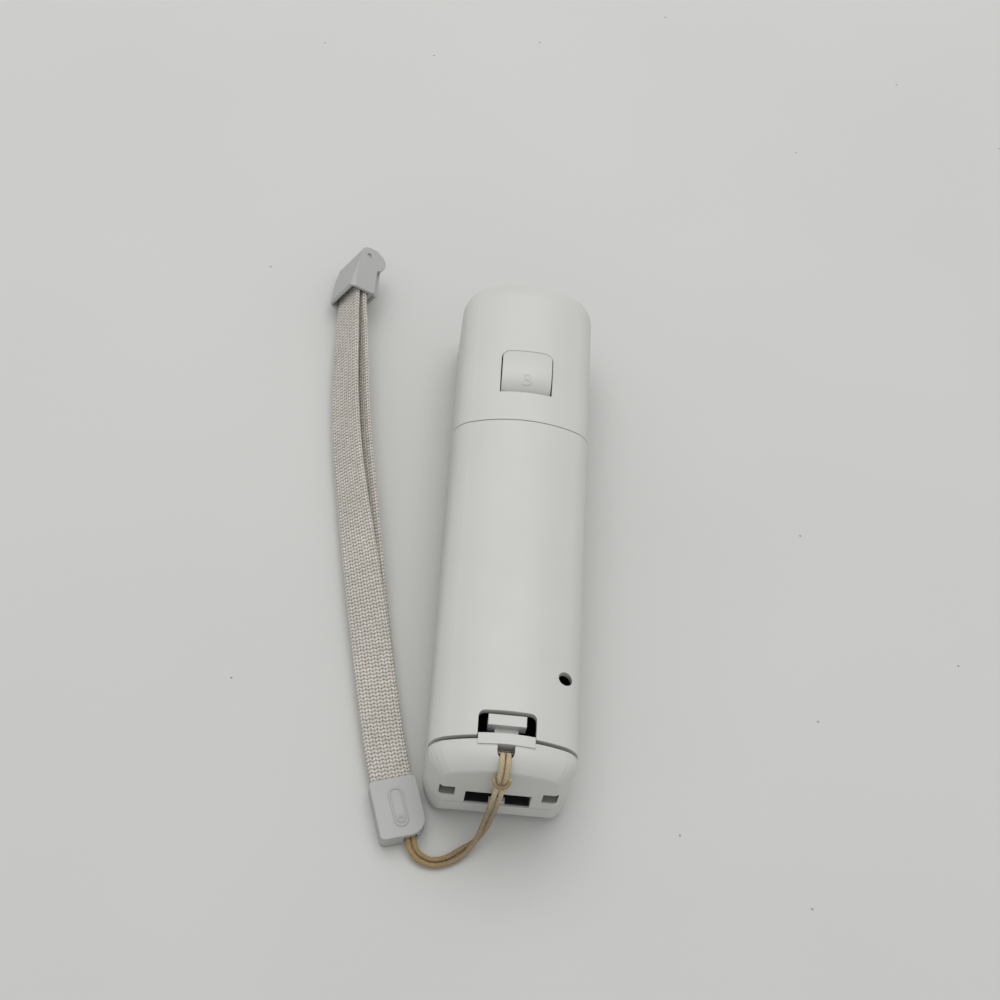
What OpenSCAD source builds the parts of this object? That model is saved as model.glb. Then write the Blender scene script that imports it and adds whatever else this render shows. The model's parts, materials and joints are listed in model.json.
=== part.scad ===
// Motion controller wand, lying on its button face, with its wrist strap.
// Millimetres. +Y runs towards the camera end, +Z out of the trigger side, and z = 0 is the table.

/* [Body] */
// Overall length from end face to end face
body_l = 148; // [144:0.5:156]
// Overall width
body_w = 36.2; // [35.4:0.1:38]
// Height from the button face to the crest of the back
body_h = 28.3; // [27.8:0.1:30]
// How far the tall buttons stand out of the face
button_stand = 1.6; // [1.2:0.1:2.4]
// Radius of the arched back
crown_r = 32; // [30:0.5:36]
// Radius of the two long corners of the back, and of the arc that rolls the back down at each end
corner_r = 7; // [6.5:0.25:8]
// Length of the rolled-down stretch at each end
end_draw = 5.5; // [5:0.25:6]
// Rounding round the rim of each end face
end_edge_r = 1.2; // [0.6:0.1:1.6]
// Rounding along the edges of the button face
face_edge_r = 2.5; // [1.5:0.1:3]
// Shell wall
wall = 1.8; // [1.5:0.1:2.1]
// Depth of the front half shell
seam_h = 6.9; // [6.5:0.1:7.2]
// Open gap along the seam of the half shells
seam_gap = 0.2; // [0.1:0.01:0.3]

/* [Battery cover] */
// Distance of the far seam from the camera end
cover_far = 47.8; // [46:0.1:50]
// Distance of the near seam from the socket end
cover_near = 8; // [7.8:0.1:8.6]
// Height of the long side edges above the button face
cover_side_h = 13.9; // [13:0.1:15]
// Gap at the far seam
far_gap = 0.25; // [0.15:0.05:0.4]
// Gap at the near seam
near_gap = 1; // [0.9:0.05:1.3]
// Gap under the side edges
side_gap = 0.15; // [0.1:0.05:0.3]
// Width of the latch window
window_w = 14; // [13:0.1:15]
// Length of the latch window
window_l = 6.5; // [6.2:0.1:7]
// Radius of the sync pen hole
pen_hole_r = 1.75; // [1.5:0.05:2]

/* [Trigger] */
// Width of the trigger
trigger_w = 13.4; // [12:0.1:14]
// Length of the trigger
trigger_l = 12.8; // [12:0.1:14]
// Distance of its far edge from the camera end
trigger_far = 25; // [24:0.1:27]
// How far its crest stands above the back
trigger_proud = 0.9; // [0.5:0.1:1.2]
// Gap round the trigger
trigger_gap = 0.3; // [0.2:0.05:0.5]
// Extra gap at its swinging near edge
trigger_swing = 0.5; // [0.4:0.05:0.8]
// Radius of the trigger's trunnions
trunnion_r = 1.2; // [1:0.05:1.4]

/* [Buttons] */
// Span of the direction pad
pad_span = 21; // [20:0.1:22]
// Width of each of its arms
pad_arm = 6.6; // [6:0.1:7]
// Radius of the large round button
a_r = 6.3; // [6:0.1:6.8]
// Radius of the two numbered buttons
number_r = 4.4; // [4:0.1:4.8]
// Radius of the three small buttons
small_r = 2.7; // [2.4:0.1:3]
// Radius of the power button
power_r = 2.2; // [2:0.1:2.6]
// Gap round every button
button_gap = 0.3; // [0.25:0.05:0.4]
// How far the numbered buttons stand short of the tall ones
number_drop = 0; // [0:0.1:0.4]
// How far the small buttons stand short of the tall ones
small_drop = 0.8; // [0.5:0.1:1]
// How far the power button stands short of the tall ones
power_drop = 1.2; // [1:0.1:1.4]
// Travel of the large button
a_travel = 1.2; // [0.8:0.1:1.3]
// Travel of the numbered buttons
number_travel = 0.8; // [0.6:0.1:1]
// Travel of the small buttons
small_travel = 0.6; // [0.4:0.1:0.8]

/* [Batteries] */
// Room beside each cell
cell_side = 0.3; // [0.2:0.05:0.5]
// Room for the spring, the nub and the plates at the ends of a cell
contact_room = 9.7; // [9:0.1:10]

/* [Socket] */
// Body width left on each side of the expansion socket
socket_side = 10.1; // [9.8:0.1:10.6]
// Height of its opening above the seam
socket_h = 6.7; // [6.2:0.1:7]
// Depth of the expansion socket behind the end wall
socket_d = 4.9; // [4.5:0.1:4.9]

/* [Strap] */
// Width of the webbing
web_w = 10.5; // [9.5:0.1:10.6]
// Thickness of the webbing
web_t = 1.5; // [1.2:0.1:1.6]
// Diameter of each cord strand
cord_d = 1.3; // [1.1:0.05:1.35]
// Length of the strap base
base_l = 15.5; // [15:0.1:17]
// Width of the strap base
base_w = 11.8; // [11.8:0.1:12.4]
// Thickness of the strap base
base_h = 4.7; // [4.6:0.1:5.2]
// Length of the strap lock
lock_l = 16; // [15:0.1:17]
// Width of the strap lock, across the webbing
lock_w = 12.6; // [12.2:0.1:14]
// Thickness of the strap lock
lock_h = 7.9; // [7.6:0.1:8.4]

/* [Hidden] */
$fn = 64;

// Colours
shell_white = [0.93, 0.93, 0.91];
button_white = [0.90, 0.90, 0.89];
tray_black = [0.08, 0.08, 0.09];
strap_grey = [0.72, 0.74, 0.75];
web_beige = [0.66, 0.62, 0.57];
cord_tan = [0.63, 0.50, 0.30];
board_green = [0.10, 0.36, 0.20];
rubber_grey = [0.45, 0.46, 0.48];
metal_grey = [0.70, 0.70, 0.72];
contact_gold = [0.80, 0.65, 0.30];

// General clearances and small steps
eps = 0.01;
fit = 0.05;
seat_gap = 0.15;
loose_gap = 0.3;
fuse = 0.3;

// Main planes
hw = body_w / 2;
hl = body_l / 2;
face_z = button_stand;
in_z = face_z + wall;
seam_z = face_z + seam_h;
crest_z = face_z + body_h;
cover_z = face_z + cover_side_h;
cover_y1 = hl - cover_far;
cover_y0 = -hl + cover_near;

// The section: an arched back, two long corners and upright flanks
crown_cz = crest_z - crown_r;
corner_cx = hw - corner_r;
corner_cz = crown_cz + sqrt(pow(crown_r - corner_r, 2) - pow(corner_cx, 2));
crown_a = atan2(corner_cx, corner_cz - crown_cz);
barrel_a = 70;
plan_r = corner_r + 2;
plan_draw = end_draw + 2.3;
roll_steps = 4;
roll_reach = 80;
function crown_z(x, inset) = crown_cz + sqrt(pow(crown_r - inset, 2) - x * x);

// Lip of the front shell inside the seam
lip_t = 1;
lip_h = 1;
lip_root = 2;

// Boards and membranes
board_z = in_z + 3.6;
board_t = 1;
board_top = board_z + board_t;
board_hw = hw - wall - lip_t - 2 * seat_gap - 0.1;
board_inset = wall + lip_t + 0.3;
board_y0 = -hl + 8.5;
board_y1 = hl - 4.6;
sheet_t = 0.6;
flange_t = 1;
flange_lap = 1.1;
flange_z = in_z + seat_gap;
flange_top = flange_z + flange_t;
chips = [[0, 30, 4.5, 4.5], [6, 8, 3, 3], [-7, -3, 3.5, 2.5], [8, 44, 2.5, 2], [-8, 52, 2, 2]];
chip_h = 1.2;
radio_x0 = -11;
radio_y0 = -32;
radio_l = 14;
radio_h = 1.5;
standoff_r = 1.2;
standoff_x = board_hw - 1.8;
standoff_ys = [board_y0 + 5.5, board_y1 - 13];

// Places of the buttons on the face
pad_y = hl * 0.669;
a_y = hl * 0.3716;
small_y = cover_y1 - 18.2;
small_x = hw - 7.6;
one_y = -hl * 0.446;
two_y = -hl * 0.6284;
speaker_y = (small_y + one_y) / 2 + 0.85;
power_y = hl - 9.5;
power_x = hw - 7.6;
light_y = -hl * 0.8108;
light_pitch = 6.5;

// Direction pad on its ball
pad_tilt = 4.5;
ball_r = 1.6;
pad_plate_r = 11.8;
pad_plate_t = 0.8;
pad_lift = pad_plate_r * sin(pad_tilt) + seat_gap;
pad_plate_z = in_z + pad_lift;
ball_z = pad_plate_z + 0.1;
pad_hub_r = 4.5;
pad_gap = 0.4;
post_r = 1.8;
post_z = ball_z + 1;
pad_dome_r = 1.6;
pad_dome_reach = 7.6;
power_travel = 0.5;

// Battery bay and tray
bay_y1 = cover_y1 - 5.7;
bay_y0 = -hl + 35.5;
bay_l = bay_y1 - bay_y0;
bay_mid = (bay_y0 + bay_y1) / 2;
tray_t = 1.2;
tray_z = board_top + 1.9;
bay_floor = tray_z + tray_t;
tray_hw = hw - wall - 0.2;
tray_wall = 1.1;
deck_z = bay_floor + 7.9;
tray_rail_z = cover_z + 1.6;
tray_y1 = cover_y1 - 0.7;
pit_y1 = -hl + 18;
pit_y0 = -hl + 8.2;
pit_z = 12;
cell_x = (tray_hw - tray_wall) / 2;
cell_r = cell_x - cell_side;
cell_z = bay_floor + cell_r + 0.1;
nub_r = 2.7;
nub_l = 1.2;
cell_l = bay_l - contact_room;
plate_t = 0.5;
plate_gap = 0.1;
screw_x = hw - 4.7;
screw_ys = [bay_y1 - 3.5, bay_y0 + 3.5];
screw_head_r = 1.5;
screw_head_h = 1.3;
screw_r = 0.9;
boss_r = 2.2;
screw_tip_z = in_z + 1.6;

// Contact springs
spring_wire = 0.8;
spring_r0 = 4.6;
spring_r1 = 3.2;
spring_turns = 4;
spring_steps = 8;
spring_sides = 6;
spring_l = bay_l - cell_l - nub_l - 2 * plate_t - 4 * plate_gap;

// Trigger and its trunnions
trig_y1 = hl - trigger_far;
trig_y0 = trig_y1 - trigger_l;
trig_hw = trigger_w / 2;
trig_mid_y = (trig_y0 + trig_y1) / 2;
trig_top_rho = crown_r + trigger_proud;
trig_arc_r = 30;
trig_roll_r = 9.2;
trig_floor_rho = crown_r - 7;
trig_pivot_y = trig_y1 - 1.8;
trig_pivot_z = crest_z - 4.7;
trig_corner_r = 2.1;
ear_x0 = trig_hw + 0.6;
ear_t = 2;
ear_l = 4.4;
ear_z = trig_pivot_z - trunnion_r - 1.2;
trunnion_x = ear_x0 + ear_t - 0.6;
shelf_z = crest_z - 12.4;
shelf_t = 1.2;
shelf_y0 = trig_y0 - 2.6;
shelf_y1 = trig_y0 + 8.4;
switch_y = trig_y0 + 2.3;
switch_top = crown_cz + trig_floor_rho - 1.3;

// Latch of the battery cover
window_y1 = cover_y0 + near_gap / 2 + window_l;
head_hw = 4.6;
head_l = 2.8;
head_h = 3.4;
head_y1 = window_y1 - 0.8;
head_top = crest_z - 0.7;
stem_hw = 2.85;
stem_t = 1.2;
tongue_t = 1.5;
band_hw = window_w / 2 - 0.2;
band_l = 2.8;
band_y1 = cover_y0 + 0.9;
band_proud = 0.35;
tongue_y0 = band_y1 + 0.15;
latch_r = 1.1;
latch_y = head_y1 - stem_t / 2;
latch_z = pit_z + tray_t + 2.2;
leg_t = 1.2;
leg_y = latch_y + latch_r + fit;
cup_t = 0.9;
cup_grip = 0.3;

// Sync button, reached through the pen hole
sync_x = hw - 4.4;
sync_y = -hl + 26.5;
sync_r = 1.6;
sync_travel = 0.5;
sync_top = deck_z + 0.8;
sync_switch_h = 1.6;
sync_stem_r = 1;
sync_flange_r = sync_r + 0.8;
sync_flange_t = 1;
sync_flange_z = deck_z - tray_t - seat_gap - sync_flange_t;

// Parts at the two ends
pocket_x = hw - 5.6;
pocket_w = 3.8;
pocket_h = 4.7;
pocket_z = seam_z + 3.8;
pocket_d = 4.2;
pocket_back = 1;
key_w = 4;
key_h = 1;
ir_hw = hw - 9.1;
ir_z0 = seam_z + 1.2;
ir_h = 10;
ir_r = 1.5;
ir_glass_t = 1.5;
socket_w = body_w - 2 * socket_side;
socket_wall = 0.8;
socket_back = 1.2;
sill_set = 0.35;
sill_t = 0.4;
tongue_blade_t = 1.4;
blade_hw = socket_w / 2 - 2.4;
contact_w = 0.9;
contact_t = 0.15;
hole_r = 2.1;
hole_y = -hl + 4.6;
hole_far = -hl + 6.15;
hole_z = crest_z - 6;
collar_t = 0.9;
collar_z = crest_z - 3.5;
bar_r = 1;
bar_y = -hl + 6.2;
bar_z = crest_z - 5.1;
lug_x0 = 3.2;
lug_t = 2.2;
bar_hl = lug_x0 + lug_t - 0.2;

// Rumble motor under the near deck
motor_x = 10.1 - hw;
motor_r = 3.4;
motor_z = board_top + motor_r + 1.1;
motor_y0 = pit_y1 + 1.4;
motor_l = 9.5;
shaft_r = 0.75;
shaft_gap = 0.6;
weight_r = 2.9;
weight_l = 3.4;

// Speaker
speaker_r = 8;
speaker_h = 2.9;
slot_w = 1.1;
slot_pitch = 2.2;
slot_n = 6;

// The strap's places are drawn for an end face at this distance from the middle
strap_end = 74;

// Strap base, lying beside the socket end
base_at = [-23.5, -75];
base_turn = -73;
base_corner_r = 1.2;
base_big_r = 4.5;
base_slot_d = 5;
base_mouth_y = 1.55;
base_mouth_w = 3.4;
base_mouth_h = 2;
base_mouth_z = 2.2;
base_mouth_d = 4;
emboss_l = 10.4;
emboss_w = 3.6;
emboss_line = 0.5;
emboss_h = 0.14;
dot_x = 3.2;
dot_r = 0.95;
web_gap = 0.25;
web_step = web_t + web_gap;
web_floor = 0.55;
web_edge = 0.35;

// Route of the upper webbing: x, y, roll of the webbing, spread of the two layers, lift off the table
web_route = [
    [-25.0, -70, 0, 1.75, 0],
    [-26.5, -65, 0, 1.75, 0],
    [-28.8, -56, 2, 1.75, 0],
    [-31.4, -44, 6, 1.8, 0],
    [-35.2, -26, 16, 2.2, 0],
    [-39.3, -7, 31, 3.2, 0],
    [-43.5, 13, 43, 4.2, 0],
    [-46.6, 30, 47, 4.4, 0],
    [-48.8, 47, 50, 4.2, 0.2],
    [-50.1, 64, 54, 3.4, 0.7],
    [-50.7, 74, 58, 2.6, 1.4],
    [-50.9, 80, 60, 2.2, 1.8],
    [-50.9, 86.6, 60, 2.2, 1.8]
];

// Routes of the two cord strands, from the anchor bar to the strap base
inner_route = [
    [-0.72, -69.55, 23.6], [-0.72, -69.6, 26], [-0.73, -69.8, 28], [-0.75, -70.4, 29.65],
    [-0.78, -71.7, 30.1], [-0.85, -73.2, 29.75], [-0.95, -74.8, 28.6], [-1.1, -75.8, 26.6],
    [-1.25, -76.1, 22], [-1.7, -76.4, 14], [-2.55, -77.9, 7], [-3.8, -80.8, 3.7], [-6.3, -84.3, 1.4],
    [-10.1, -86.9, 0.95], [-14.15, -87.85, 0.95], [-17.75, -86.8, 1.45], [-19.8, -84.6, 2.1],
    [-20.45, -82.3, 2.2], [-21, -80.1, 2.2]
];
outer_route = [
    [0.72, -69.55, 23.6], [0.72, -69.6, 26], [0.72, -69.8, 28], [0.7, -70.4, 29.65],
    [0.68, -71.7, 30.1], [0.6, -73.2, 29.75], [0.5, -74.8, 28.6], [0.35, -75.8, 26.6],
    [0.2, -76.1, 22], [-0.25, -76.5, 14], [-1.45, -78.3, 6.2], [-3.9, -80.75, 1.9], [-7.4, -83.1, 0.95],
    [-10.8, -85.5, 0.9], [-14.2, -86.4, 1], [-17.2, -85.5, 1.5], [-18.7, -83.7, 2.1],
    [-19.1, -81.8, 2.2], [-19.65, -79.7, 2.2]
];
cord_sides = 8;
cord_steps = 3;
hitch_at = [-0.4, -75.85, 26.4];
hitch_r = 0.45;
hitch_a = 1.9;
hitch_b = 1.3;
hitch_steps = 20;
hitch_sides = 6;
hitch_tilt = 0.35;

// Strap lock at the loop's far end
lock_at = [-49.76, 86.7, 7.3];
lock_roll = 60;
lock_top = 4.5;
lock_floor = lock_top - lock_h;
lock_drop = 2;
lock_nose_r = 3;
lock_edge_r = 1;
lock_side_r = 1.8;
lock_slot_w = web_w + 0.5;
lock_slot_end = 0.1;
lock_slot_z0 = -1.75;
lock_slot_z1 = 2.6;
lock_mouth_z = 3.7;
lock_mouth_l = 3.8;
lock_rib_z = 2.9;
lock_rib_t = 0.5;
lock_rib_in = 1.6;
fork_y = 0.35;
fork_z = 1.4;
pin_y = 5.1;
pin_z = -0.3;
pin_r = 0.7;
pin_set = 0.3;
cam_y = 4.1;
cam_z = -2.4;
cam_r = 3.45;
lever_hw = 4.6;
lever_gap = 0.2;
lever_t = 1.6;
lever_y0 = -6.4;

// Turns a profile so that it sweeps about an axis along Y, or runs along Y or X
module about_y() rotate([90, 0, 0]) children();
module along_y(l) translate([0, l / 2, 0]) rotate([90, 0, 0]) linear_extrude(l) children();
module along_x(l) translate([-l / 2, 0, 0]) rotate([90, 0, 90]) linear_extrude(l) children();
module block(x0, x1, y0, y1, z0, z1) translate([x0, y0, z0]) cube([x1 - x0, y1 - y0, z1 - z0]);
module mid_block(x, y0, y1, z0, z1) block(-x, x, y0, y1, z0, z1);
module post(x, y, r, z0, z1) translate([x, y, z0]) cylinder(r = r, h = z1 - z0);
module rod_x(y, z, r, half) translate([-half, y, z]) rotate([0, 90, 0]) cylinder(r = r, h = 2 * half);
module rod_y(x, z, r, y0, y1) translate([x, y1, z]) rotate([90, 0, 0]) cylinder(r = r, h = y1 - y0);

// Half outline along the body: straight, then drawn in by an arc to a flat end with a round rim
module end_profile(rho, inset, arc_r, draw) {
    r = rho - inset;
    re = arc_r - inset;
    l = hl - inset;
    ys = hl - draw;
    edge = inset > 0 ? 0 : end_edge_r;
    fy = l - edge;
    fx = r - re + sqrt(pow(re - edge, 2) - pow(fy - ys, 2));
    ty = ys + (fy - ys) * re / (re - edge);
    translate([0, -ys]) square([r, 2 * ys]);
    translate([0, -l]) square([fx, 2 * l]);
    for (s = [-1, 1]) {
        intersection() {
            translate([r - re, s * ys]) circle(re);
            translate([0, s > 0 ? ys - 1 : -ty]) square([r, ty - ys + 1]);
        }
        if (edge > 0) translate([fx, s * fy]) circle(edge);
    }
}

module plan(inset) {
    end_profile(hw, inset, plan_r, plan_draw);
    mirror([1, 0]) end_profile(hw, inset, plan_r, plan_draw);
}

module plan_slab(inset, z0, z1) translate([0, 0, z0]) linear_extrude(z1 - z0) plan(inset);

// Section across the body from z0 up, set in by a wall
module section(inset, z0) {
    far = crown_r + 5;
    translate([inset - hw, z0]) square([2 * (hw - inset), corner_cz - z0]);
    for (s = [-1, 1]) translate([s * corner_cx, corner_cz]) circle(corner_r - inset);
    intersection() {
        translate([0, crown_cz]) circle(crown_r - inset);
        polygon([[0, crown_cz], [far * sin(crown_a), crown_cz + far * cos(crown_a)],
            [-far * sin(crown_a), crown_cz + far * cos(crown_a)]]);
    }
}

module section_run(inset, z0, y0, y1) translate([0, (y0 + y1) / 2, 0]) along_y(y1 - y0) section(inset, z0);

// The arched back rolled down at each end about its own axis
module crown_barrel() translate([0, 0, crown_cz]) about_y() rotate([0, 0, 90 - barrel_a])
    rotate_extrude(angle = 2 * barrel_a) end_profile(crown_r + eps, 0, corner_r, end_draw);

// A long shoulder rolled down at each end, turned part of the way from the back to the side
module shoulder_roll(side, step) {
    share = step / roll_steps;
    turn = crown_a + (90 - crown_a) * share;
    translate([side * corner_cx, 0, corner_cz]) mirror([side > 0 ? 0 : 1, 0, 0]) rotate([0, turn - 90, 0])
        linear_extrude(2 * roll_reach, center = true) translate([corner_r + eps - roll_reach, 0])
            end_profile(roll_reach, 0, corner_r + (plan_r - corner_r) * share,
                end_draw + (plan_draw - end_draw) * share);
}

module rear_body() intersection() {
    intersection() {
        intersection() {
            section_run(0, seam_z, -hl - 1, hl + 1);
            crown_barrel();
        }
        plan_slab(0, seam_z + seam_gap / 2, crest_z + 1);
    }
    shoulder_roll(-1, 1);
    shoulder_roll(1, 1);
    shoulder_roll(-1, 2);
    shoulder_roll(1, 2);
    shoulder_roll(-1, 3);
    shoulder_roll(1, 3);
}

// A tray outline with two round lower corners
module tray_outline(half) {
    translate([-half, face_z + face_edge_r]) square([2 * half, seam_h]);
    translate([face_edge_r - half, face_z]) square([2 * (half - face_edge_r), seam_h]);
    for (s = [-1, 1]) translate([s * (half - face_edge_r), face_z + face_edge_r]) circle(face_edge_r);
}

module front_body() intersection() {
    plan_slab(0, face_z - 1, seam_z - seam_gap / 2);
    along_y(body_l + 2) tray_outline(hw);
    along_x(body_w + 2) tray_outline(hl);
}

module pad_cross(gap, z0, z1) {
    for (turn = [0, 90]) translate([0, pad_y, 0]) rotate([0, 0, turn])
        mid_block(pad_arm / 2 + gap, -pad_span / 2 - gap, pad_span / 2 + gap, z0, z1);
}

module face_holes() {
    z0 = face_z - 1;
    z1 = in_z + 0.6;
    pad_cross(pad_gap, z0, z1);
    post(0, a_y, a_r + button_gap, z0, z1);
    for (x = [-small_x, 0, small_x]) post(x, small_y, small_r + button_gap, z0, z1);
    for (y = [one_y, two_y]) post(0, y, number_r + button_gap, z0, z1);
    post(power_x, power_y, power_r + button_gap, z0, z1);
    for (i = [0 : slot_n - 1]) {
        x = (i - (slot_n - 1) / 2) * slot_pitch;
        half = sqrt(pow(speaker_r - 1.6, 2) - x * x);
        block(x - slot_w / 2, x + slot_w / 2, speaker_y - half, speaker_y + half, z0, z1);
    }
    for (i = [-1.5 : 1 : 1.5])
        block(i * light_pitch - 0.9, i * light_pitch + 0.9, light_y - 0.9, light_y + 0.9, z0, z1);
}

module front_shell() color(shell_white) difference() {
    union() {
        difference() {
            front_body();
            plan_slab(wall, in_z, seam_z + 1);
        }
        difference() {
            union() {
                plan_slab(wall - fuse, seam_z - lip_root, seam_z - fuse);
                plan_slab(wall + 0.12, seam_z - lip_root, seam_z + lip_h);
            }
            plan_slab(wall + 0.12 + lip_t, seam_z - lip_root - 1, seam_z + lip_h + 1);
            mid_block(socket_w / 2 + socket_wall + loose_gap, -hl, -hl + 6, seam_z - 0.6, seam_z + 2);
        }
        mid_block(key_w / 2, -hl + 0.6, -hl + wall, seam_z - 1, seam_z + key_h);
        for (y = screw_ys, s = [-1, 1]) post(s * screw_x, y, boss_r, in_z - fuse, tray_z - eps);
        for (y = standoff_ys, s = [-1, 1]) post(s * standoff_x, y, standoff_r, in_z - fuse, board_z);
        difference() {
            post(0, speaker_y, speaker_r + 1.2, in_z - fuse, in_z + 1.8);
            post(0, speaker_y, speaker_r + fit, in_z - 1, in_z + 3);
        }
    }
    face_holes();
    for (y = screw_ys, s = [-1, 1]) post(s * screw_x, y, screw_r + fit, screw_tip_z - 0.4, tray_z + 1);
}

module cover_cut() block(-hw - 1, hw + 1, cover_y0 - near_gap / 2, cover_y1 + far_gap / 2,
    cover_z - side_gap, crest_z + 2);

module rounded_window(hx, z0, z1, r) {
    translate([-hx, z0 + r]) square([2 * hx, z1 - z0 - 2 * r]);
    translate([r - hx, z0]) square([2 * (hx - r), z1 - z0]);
    for (x = [r - hx, hx - r], z = [z0 + r, z1 - r]) translate([x, z]) circle(r);
}

// Ring sector about the crown's own axis
module crown_sector(half_a, y0, y1, rho0, rho1) translate([0, 0, crown_cz]) about_y()
    rotate([0, 0, 90 - half_a]) rotate_extrude(angle = 2 * half_a)
        translate([rho0, -y1]) square([rho1 - rho0, y1 - y0]);

module latch_band() {
    half_a = asin(band_hw / crown_r);
    crown_sector(half_a, band_y1 - band_l, band_y1, crown_r - wall + 0.2, crown_r + band_proud);
}

module rear_inner() {
    for (s = [-1, 1]) {
        x0 = s > 0 ? ear_x0 : -ear_x0 - ear_t;
        block(x0, x0 + ear_t, trig_pivot_y - ear_l / 2, trig_pivot_y + ear_l / 2, ear_z,
            crown_z(ear_x0 + ear_t, wall / 2));
        x1 = s > 0 ? lug_x0 : -lug_x0 - lug_t;
        block(x1, x1 + lug_t, -hl + wall - fuse, bar_y + bar_r + 1, bar_z - 2.6, bar_z + 1.6);
        block(s * pocket_x - pocket_w / 2 - 1, s * pocket_x + pocket_w / 2 + 1, -hl + wall - fuse,
            -hl + pocket_d + pocket_back, pocket_z - 1, pocket_z + pocket_h + 1);
    }
    mid_block(hw - wall / 2, shelf_y0, shelf_y1, shelf_z, shelf_z + shelf_t);
    mid_block(hole_r + collar_t, hole_far - fuse, hole_far + collar_t, collar_z,
        crown_z(hole_r + collar_t, wall / 2));
}

module rear_shell() color(shell_white) difference() {
    union() {
        difference() {
            rear_body();
            intersection() {
                section_run(wall, seam_z - 1, -hl, hl);
                plan_slab(wall, seam_z - 1, crest_z);
            }
            cover_cut();
        }
        rear_inner();
        latch_band();
    }
    trigger_column(trigger_gap, trigger_swing, ear_z);
    rod_x(trig_pivot_y, trig_pivot_z, trunnion_r + fit, ear_x0 + ear_t + 1);
    translate([0, hl - wall / 2, 0]) along_y(wall + 2) rounded_window(ir_hw, ir_z0, ir_z0 + ir_h, ir_r);
    mid_block(socket_w / 2, -hl - 1, -hl + wall + 1, seam_z - 1, seam_z + socket_h);
    for (s = [-1, 1]) block(s * pocket_x - pocket_w / 2, s * pocket_x + pocket_w / 2, -hl - 1,
        -hl + pocket_d, pocket_z, pocket_z + pocket_h);
    intersection() {
        post(0, hole_y, hole_r, hole_z, crest_z + 2);
        mid_block(hole_r + 1, -hl, hole_y + hole_r / 2, hole_z, crest_z + 2);
    }
    mid_block(hole_r, hole_y, hole_far, hole_z, crest_z + 2);
    rod_x(bar_y, bar_z, bar_r + fit, bar_hl + fit);
}

// Hooks under the rear shell's edge, on which the cover swings
module cover_hooks() {
    for (side = [-1, 1]) translate([0, 0, crown_cz]) about_y()
        rotate([0, 0, 90 + side * 17 - 5]) rotate_extrude(angle = 10) {
            translate([crown_r - wall - 1.5, -cover_y1 - 3.6]) square([1.2, 8]);
            translate([crown_r - wall - 1.5, -cover_y1 + 0.4]) square([2, 4]);
        }
}

module battery_cover() color(shell_white) {
    near_y = cover_y0 + near_gap / 2;
    difference() {
        union() {
            intersection() {
                difference() {
                    section_run(0, seam_z, near_y, cover_y1 - far_gap / 2);
                    section_run(wall, seam_z - 1, near_y - 1, cover_y1 + 1);
                }
                block(-hw - 1, hw + 1, near_y - 1, cover_y1 + 1, cover_z, crest_z + 2);
            }
            cover_hooks();
            latch_socket();
        }
        mid_block(window_w / 2, near_y - 1, window_y1 - 1.5, crest_z - 6, crest_z + 2);
        mid_block(window_w / 2 - 1.5, near_y - 1, window_y1, crest_z - 6, crest_z + 2);
        for (s = [-1, 1]) post(s * (window_w / 2 - 1.5), window_y1 - 1.5, 1.5, crest_z - 6, crest_z + 2);
        post(sync_x, sync_y, pen_hole_r, deck_z + 1, crest_z + 2);
        rod_x(latch_y, latch_z, latch_r + fit, stem_hw + 2);
    }
}

// Leg that hangs under the cover, with a cup that holds the latch's round root
module latch_socket() {
    cup_z = latch_z - latch_r - cup_t;
    mid_block(stem_hw + 1, leg_y, leg_y + leg_t, cup_z, crown_z(stem_hw + 1, wall / 2));
    mid_block(stem_hw + 1, latch_y - latch_r - cup_t, leg_y + leg_t, cup_z, latch_z + cup_grip);
}

module cover_latch() color(button_white) {
    rod_x(latch_y, latch_z, latch_r, stem_hw + 1);
    mid_block(stem_hw, latch_y - stem_t / 2, latch_y + stem_t / 2 - 0.2, latch_z, head_top - head_h + 0.5);
    mid_block(head_hw, head_y1 - head_l, head_y1, head_top - head_h, head_top);
    mid_block(stem_hw, tongue_y0, head_y1 - head_l + 0.5, head_top - head_h, head_top - head_h + tongue_t);
}

module battery_tray() color(tray_black) difference() {
    union() {
        mid_block(tray_hw, bay_y0 - tray_t, bay_y1 + tray_t, tray_z, bay_floor);
        for (y = [bay_y0 - tray_t, bay_y1]) mid_block(tray_hw, y, y + tray_t, tray_z, deck_z);
        mid_block(tray_hw, bay_y1, tray_y1, deck_z - tray_t, deck_z);
        mid_block(tray_hw, pit_y1 - tray_t, bay_y0, deck_z - tray_t, deck_z);
        mid_block(tray_hw, pit_y1 - tray_t, pit_y1, pit_z, deck_z);
        mid_block(tray_hw, pit_y0, pit_y1, pit_z, pit_z + tray_t);
        for (s = [-1, 1]) {
            x0 = s > 0 ? tray_hw - tray_wall : -tray_hw;
            block(x0, x0 + tray_wall, pit_y0, tray_y1, tray_z + tray_t, tray_rail_z);
        }
    }
    for (y = screw_ys, s = [-1, 1]) post(s * screw_x, y, screw_r + 0.2, tray_z - 1, bay_floor + 1);
    post(sync_x, sync_y, sync_r + seat_gap, deck_z - 3, deck_z + 1);
    post(sync_x, sync_y, sync_flange_r + loose_gap, sync_flange_z - sync_travel - loose_gap, deck_z - tray_t);
}

// Side form of the trigger: an arched top that rolls down at its near half, swept about the crown's axis
module trigger_profile() {
    intersection() {
        translate([trig_floor_rho, -trig_y1]) square([crown_r, trigger_l / 2]);
        translate([trig_top_rho - trig_arc_r, -trig_mid_y]) circle(trig_arc_r);
    }
    intersection() {
        translate([trig_floor_rho, -trig_mid_y - 1]) square([crown_r, trigger_l / 2 + 1]);
        translate([trig_top_rho - trig_roll_r, -trig_mid_y]) circle(trig_roll_r);
    }
}

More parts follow.
